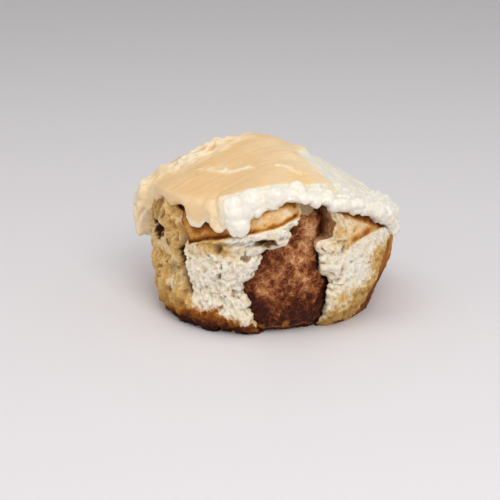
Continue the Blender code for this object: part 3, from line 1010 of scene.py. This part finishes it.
pushed_up = thick_relief + 0.5 - 0.6 * in_heap * (1 - past_crest)
icing_relief = mixed(thin_relief, pushed_up, thick_share)
icing_relief += 0.9 * thin_rim * layered_noise(icing_points, 9.0, 3, 149)
icing_relief += 0.7 * thin_rim * (billows(icing_points, 5.0, 2, 151) - 0.4) * left_rim
icing_relief *= 1 - 0.35 * thin_rim * smooth_step(-26, -34, icing_angles)
icing_relief *= 1 - 0.75 * near_hem
icing_relief += 0.8 * in_rope * hump(icing_angles, -17, 6) * past_crest
curl_puffs = billows(icing_points * (1, 1, 0.8), 5.0, 3, 147)
icing_relief += standing_off * (4.0 * curl_puffs - 1.6)
icing_relief += sum(rise * mound(x, y, reach) for x, y, reach, rise in MOUNDS)
icing_relief -= sum(depth * mound(x, y, reach) for x, y, reach, depth in DENTS)

broken = smooth_step(-0.1, 0.5, soft_noise(icing_points, 3.0, 141) + 0.2)
smear = np.maximum.reduce([hump(from_run(*run) + 2.0 * icing_wander, 0, 1.3) * broken for run in SMEARS])
icing_relief = (icing_relief + SMEAR_RISE * smear) * on_show
icing_rings = icing_points - out_of(icing_points) * icing_relief[..., None]
print("relief from", icing_relief.min().round(1), "to", icing_relief.max().round(1), "mm")

# %% [markdown]
# Two shares are left for the paint. A painted yellow shade lies in the creases and dents. White is where the
# frosting is thick, and also on the smears, the torn skin of the crumpled patch and the pale hem at the
# front left, with a little more towards the right of the top, partly whiter frosting and partly painted
# light.

# %% Where the frosting is white or shaded yellow in its creases
# Painted shade: yellow in the hollows between ridges and puffs and in the dents
between_ridges = crumple * smooth_step(0.45, -0.3, ridges)
between_puffs = 0.4 * thick_share * smooth_step(0.22, 0.02, puffs)
in_dents = [0.9 * mound(x, y, reach) for x, y, reach, _ in DENTS]
crease_shade = np.maximum.reduce([between_ridges, between_puffs, *in_dents])
torn_skin = crumple * smooth_step(0.1, 0.7, ridges + 0.5 * icing_wander)
hem_pale = smooth_step(HEM_ROW - 24, HEM_ROW - 6, icing_rows) * hump(icing_angles, -34, 13)
# Paler towards the right: partly whiter frosting, partly painted light and sheen on the side facing the
# window
paler_lit_right = smooth_step(-14, 18, plan_x + 5 * icing_wander)
white = np.maximum.reduce([white, 0.26 * paler_lit_right, 0.6 * smear, 0.6 * hem_pale, 0.70 * torn_skin])
white = np.clip(white * (1 - 0.5 * crease_shade), 0, 1)

# %% Make the frosting
spread_frosting = piece_from_rings("spread_frosting", icing_rings, {
    "white": white,
    "crease_shade": np.clip(crease_shade, 0, 1),
})
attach(spread_frosting, "root")
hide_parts("frosting")

# %% [markdown]
# ## Materials
#
# A material here is layers of paint, and each layer has a share that says where it shows. The shares come
# from the attributes that the shapes left on the points, roughened by noise that is finer than the mesh.

# %% Small helpers for node materials


def add(tree, kind, inputs=None, **settings):
    """Adds a node, sets its properties, and links or fills its inputs by name or number."""
    made = tree.nodes.new(kind)
    for label, value in settings.items():
        setattr(made, label, value)
    for label, value in (inputs or {}).items():
        if isinstance(value, bpy.types.NodeSocket):
            tree.links.new(value, made.inputs[label])
        else:
            made.inputs[label].default_value = value
    return made


def share_of(tree, label):
    return add(tree, "ShaderNodeAttribute", attribute_name=label).outputs["Fac"]


def ramp(tree, value, low, high):
    """0 below low and 1 above high, smooth between them."""
    made = add(tree, "ShaderNodeMapRange", {"Value": value, "From Min": low, "From Max": high},
               interpolation_type="SMOOTHSTEP")
    return made.outputs["Result"]


def combine(tree, operation, first, second):
    return add(tree, "ShaderNodeMath", {0: first, 1: second}, operation=operation).outputs["Value"]


def plus(tree, first, second, amount):
    """The first value and so much of the second."""
    return combine(tree, "ADD", first, combine(tree, "MULTIPLY", second, amount))


def centred(tree, value):
    """A value from 0 to 1 moved down to lie on both sides of 0."""
    return combine(tree, "SUBTRACT", value, 0.5)


def paint(tree, under, over, share):
    """One colour over another where the share says."""
    made = add(tree, "ShaderNodeMix", {0: share, 6: under, 7: over}, data_type="RGBA")
    return made.outputs[2]


def tones(tree, value, stops):
    """A colour that runs through the stops, each a (place, colour), as the value goes from 0 to 1."""
    made = add(tree, "ShaderNodeValToRGB", {"Fac": value})
    elements = made.color_ramp.elements
    while len(elements) < len(stops):
        elements.new(0.5)
    for element, (place, colour) in zip(elements, stops):
        element.position = place
        element.color = (*colour, 1)
    return made.outputs["Color"]


def speckle(tree, where, size, detail=3.0, rough=0.6):
    """Soft noise from 0 to 1 with lumps about `size` mm across."""
    made = add(tree, "ShaderNodeTexNoise", {"Vector": where, "Scale": 1 / (size * MM), "Detail": detail,
                                            "Roughness": rough})
    return made.outputs["Fac"]


def bent(tree, where, size, reach):
    """The place moved by up to about `reach` mm with noise of the given size."""
    push = add(tree, "ShaderNodeTexNoise", {"Vector": where, "Scale": 1 / (size * MM)}).outputs["Color"]
    middled = add(tree, "ShaderNodeVectorMath", {0: push, 1: (0.5, 0.5, 0.5)}, operation="SUBTRACT")
    moved = {0: middled.outputs["Vector"], 1: (reach * MM,) * 3, 2: where}
    return add(tree, "ShaderNodeVectorMath", moved, operation="MULTIPLY_ADD").outputs["Vector"]


def raised(tree, height, depth, under=None):
    """A bump whose height of 1 stands `depth` mm high."""
    inputs = {"Height": height, "Distance": depth * MM, "Strength": 1.0}
    if under is not None:
        inputs["Normal"] = under
    return add(tree, "ShaderNodeBump", inputs).outputs["Normal"]


def new_tree(label):
    material = bpy.data.materials.new(label)
    material.use_nodes = True
    tree = material.node_tree
    tree.nodes.clear()
    shader = add(tree, "ShaderNodeBsdfPrincipled")
    add(tree, "ShaderNodeOutputMaterial", {"Surface": shader.outputs["BSDF"]})
    return material, tree, shader


# %% [markdown]
# ### Baked dough
#
# Crumb is pale and a little see-through, and painted shade darkens its pores, hollows and cracks. The left
# side has no oven crust and is painted darker as shade. Crust goes from cream through gold to brown. Cinnamon
# is a wet mottle of dark sugar on paler dough, and the caramel at the foot is nearly black and glossy.

# %% Baked dough material
CRUMB_TONES = ((0.0, (0.90, 0.855, 0.775)), (0.28, (0.84, 0.74, 0.55)), (0.62, (0.66, 0.42, 0.14)),
               (1.0, (0.34, 0.15, 0.03)))
CRUST_TONES = ((0.0, (0.82, 0.69, 0.51)), (0.33, (0.71, 0.41, 0.13)), (0.62, (0.40, 0.145, 0.022)),
               (1.0, (0.10, 0.020, 0.004)))
CINNAMON_TONES = ((0.0, (0.66, 0.37, 0.18)), (0.33, (0.38, 0.145, 0.052)), (0.62, (0.155, 0.036, 0.010)),
                  (1.0, (0.032, 0.005, 0.002)))
CARAMEL_TONES = ((0.22, (0.60, 0.28, 0.045)), (0.45, (0.34, 0.11, 0.010)), (0.70, (0.10, 0.018, 0.003)),
                 (0.92, (0.022, 0.004, 0.001)))
# Colours of the painted shade in pores, cells, hollows and cracks
PIT_SHADE_TONES = ((0.0, (0.72, 0.58, 0.38)), (0.5, (0.40, 0.24, 0.11)), (1.0, (0.055, 0.014, 0.004)))


def baked_dough():
    material, tree, shader = new_tree("baked_dough")
    where = add(tree, "ShaderNodeTexCoord").outputs["Object"]
    tone, crumb_share = share_of(tree, "tone"), share_of(tree, "crumb")
    middling = speckle(tree, where, 2.2, 4)
    fine = speckle(tree, where, 0.7, 4)
    mottle = centred(tree, plus(tree, combine(tree, "MULTIPLY", middling, 0.5), fine, 0.5))
    grains = centred(tree, speckle(tree, where, 0.5, 2))

    crust = tones(tree, plus(tree, tone, mottle, 0.9), CRUST_TONES)
    crumb = tones(tree, plus(tree, tone, mottle, 0.45), CRUMB_TONES)
    colour = paint(tree, crust, crumb, ramp(tree, crumb_share, 0.35, 0.65))

    lattice = {"Vector": bent(tree, where, 1.0, 0.8), "Scale": 1 / (1.2 * MM)}
    cells = add(tree, "ShaderNodeTexVoronoi", lattice, feature="DISTANCE_TO_EDGE").outputs["Distance"]
    # Painted shade in the open cells, added to the pit shade
    open_cell_shade = combine(tree, "MULTIPLY", ramp(tree, cells, 0.04, 0.32), ramp(tree, middling, 0.36, 0.62))
    pit_shade = plus(tree, share_of(tree, "pit_shade"), open_cell_shade, 0.20)
    pit_shade_share = ramp(tree, plus(tree, pit_shade, mottle, 0.5), 0.08, 0.75)
    colour = paint(tree, colour, tones(tree, pit_shade, PIT_SHADE_TONES), pit_shade_share)

    bare = ramp(tree, share_of(tree, "cinnamon"), 0.35, 0.65)
    sugar = plus(tree, plus(tree, tone, mottle, 1.4), grains, 0.7)
    colour = paint(tree, colour, tones(tree, sugar, CINNAMON_TONES), bare)
    burnt = plus(tree, share_of(tree, "caramel"), mottle, 0.7)
    colour = paint(tree, colour, tones(tree, burnt, CARAMEL_TONES), ramp(tree, burnt, 0.12, 0.45))
    tree.links.new(colour, shader.inputs["Base Color"])

    wet_sugar = combine(tree, "MULTIPLY", bare, ramp(tree, middling, 0.3, 0.7))
    sticky = combine(tree, "MAXIMUM", ramp(tree, burnt, 0.3, 0.8), wet_sugar)
    rough = combine(tree, "SUBTRACT", 0.88, combine(tree, "MULTIPLY", sticky, 0.42))
    tree.links.new(rough, shader.inputs["Roughness"])
    shader.inputs["Specular IOR Level"].default_value = 0.15
    shader.inputs["Subsurface Radius"].default_value = (1.0, 0.6, 0.35)
    shader.inputs["Subsurface Scale"].default_value = 2.2 * MM
    soft = combine(tree, "ADD", combine(tree, "MULTIPLY", crumb_share, 0.44), 0.06)
    tree.links.new(soft, shader.inputs["Subsurface Weight"])
    walls = combine(tree, "MULTIPLY", combine(tree, "SUBTRACT", 0.5, cells), crumb_share)
    tree.links.new(raised(tree, fine, 0.22, raised(tree, walls, 0.45)), shader.inputs["Normal"])
    return material


torn_bun.data.materials.append(baked_dough())

# %% [markdown]
# ### Frosting
#
# Butter, cream cheese and sugar let light into them, so the frosting needs subsurface light more than any
# other finish here. The white parts are wet and glossy, and the tan parts have dried to satin.

# %% Frosting material
FROSTING_TONES = ((0.0, (0.765, 0.505, 0.245)), (0.3, (0.85, 0.655, 0.41)), (0.6, (0.86, 0.77, 0.59)),
                  (1.0, (0.86, 0.83, 0.75)))
# Colour of the painted shade in the frosting's creases and dents
FROSTING_CREASE_SHADE = (0.86, 0.62, 0.26, 1)


def frosting():
    material, tree, shader = new_tree("frosting")
    where = add(tree, "ShaderNodeTexCoord").outputs["Object"]
    broad = speckle(tree, where, 12)
    middling = speckle(tree, where, 3.5, 4)
    fine = speckle(tree, where, 0.8, 4)
    stretch = {"Vector": where, "Rotation": (0, 0, KNIFE_TURN), "Scale": (10, 1, 1)}
    streaked = add(tree, "ShaderNodeMapping", stretch, vector_type="TEXTURE").outputs["Vector"]
    streak = speckle(tree, streaked, 1.4, 4)
    wavering = plus(tree, combine(tree, "MULTIPLY", broad, 0.45), middling, 0.35)
    wavering = combine(tree, "SUBTRACT", plus(tree, wavering, streak, 0.40), 0.6)
    white = plus(tree, share_of(tree, "white"), wavering, 0.55)
    colour = tones(tree, combine(tree, "ADD", white, 0.06), FROSTING_TONES)
    # Painted shade in the creases and dents, in a yellow cream colour
    crease_shaded = combine(tree, "MULTIPLY", share_of(tree, "crease_shade"), 0.6)
    colour = paint(tree, colour, FROSTING_CREASE_SHADE, crease_shaded)
    tree.links.new(colour, shader.inputs["Base Color"])
    wet = ramp(tree, white, 0.2, 0.9)
    rough = combine(tree, "SUBTRACT", 0.55, combine(tree, "MULTIPLY", wet, 0.20))
    tree.links.new(rough, shader.inputs["Roughness"])
    shader.inputs["Subsurface Weight"].default_value = 0.35
    shader.inputs["Subsurface Radius"].default_value = (1.0, 0.75, 0.5)
    shader.inputs["Subsurface Scale"].default_value = 2.2 * MM
    tree.links.new(raised(tree, streak, 0.14, raised(tree, fine, 0.10)), shader.inputs["Normal"])
    return material


spread_frosting.data.materials.append(frosting())

# %% [markdown]
# ## Finish
#
# The frame's box and the visual model's box are printed beside each other. The visual model
# has to stay in the frame's box.

# %% Print the sizes and finish
visual_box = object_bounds()
for label, box in (("frame", cad_box), ("visual", visual_box)):
    print(label, "mm:", [round(value / MM, 1) for corner in box for value in corner])
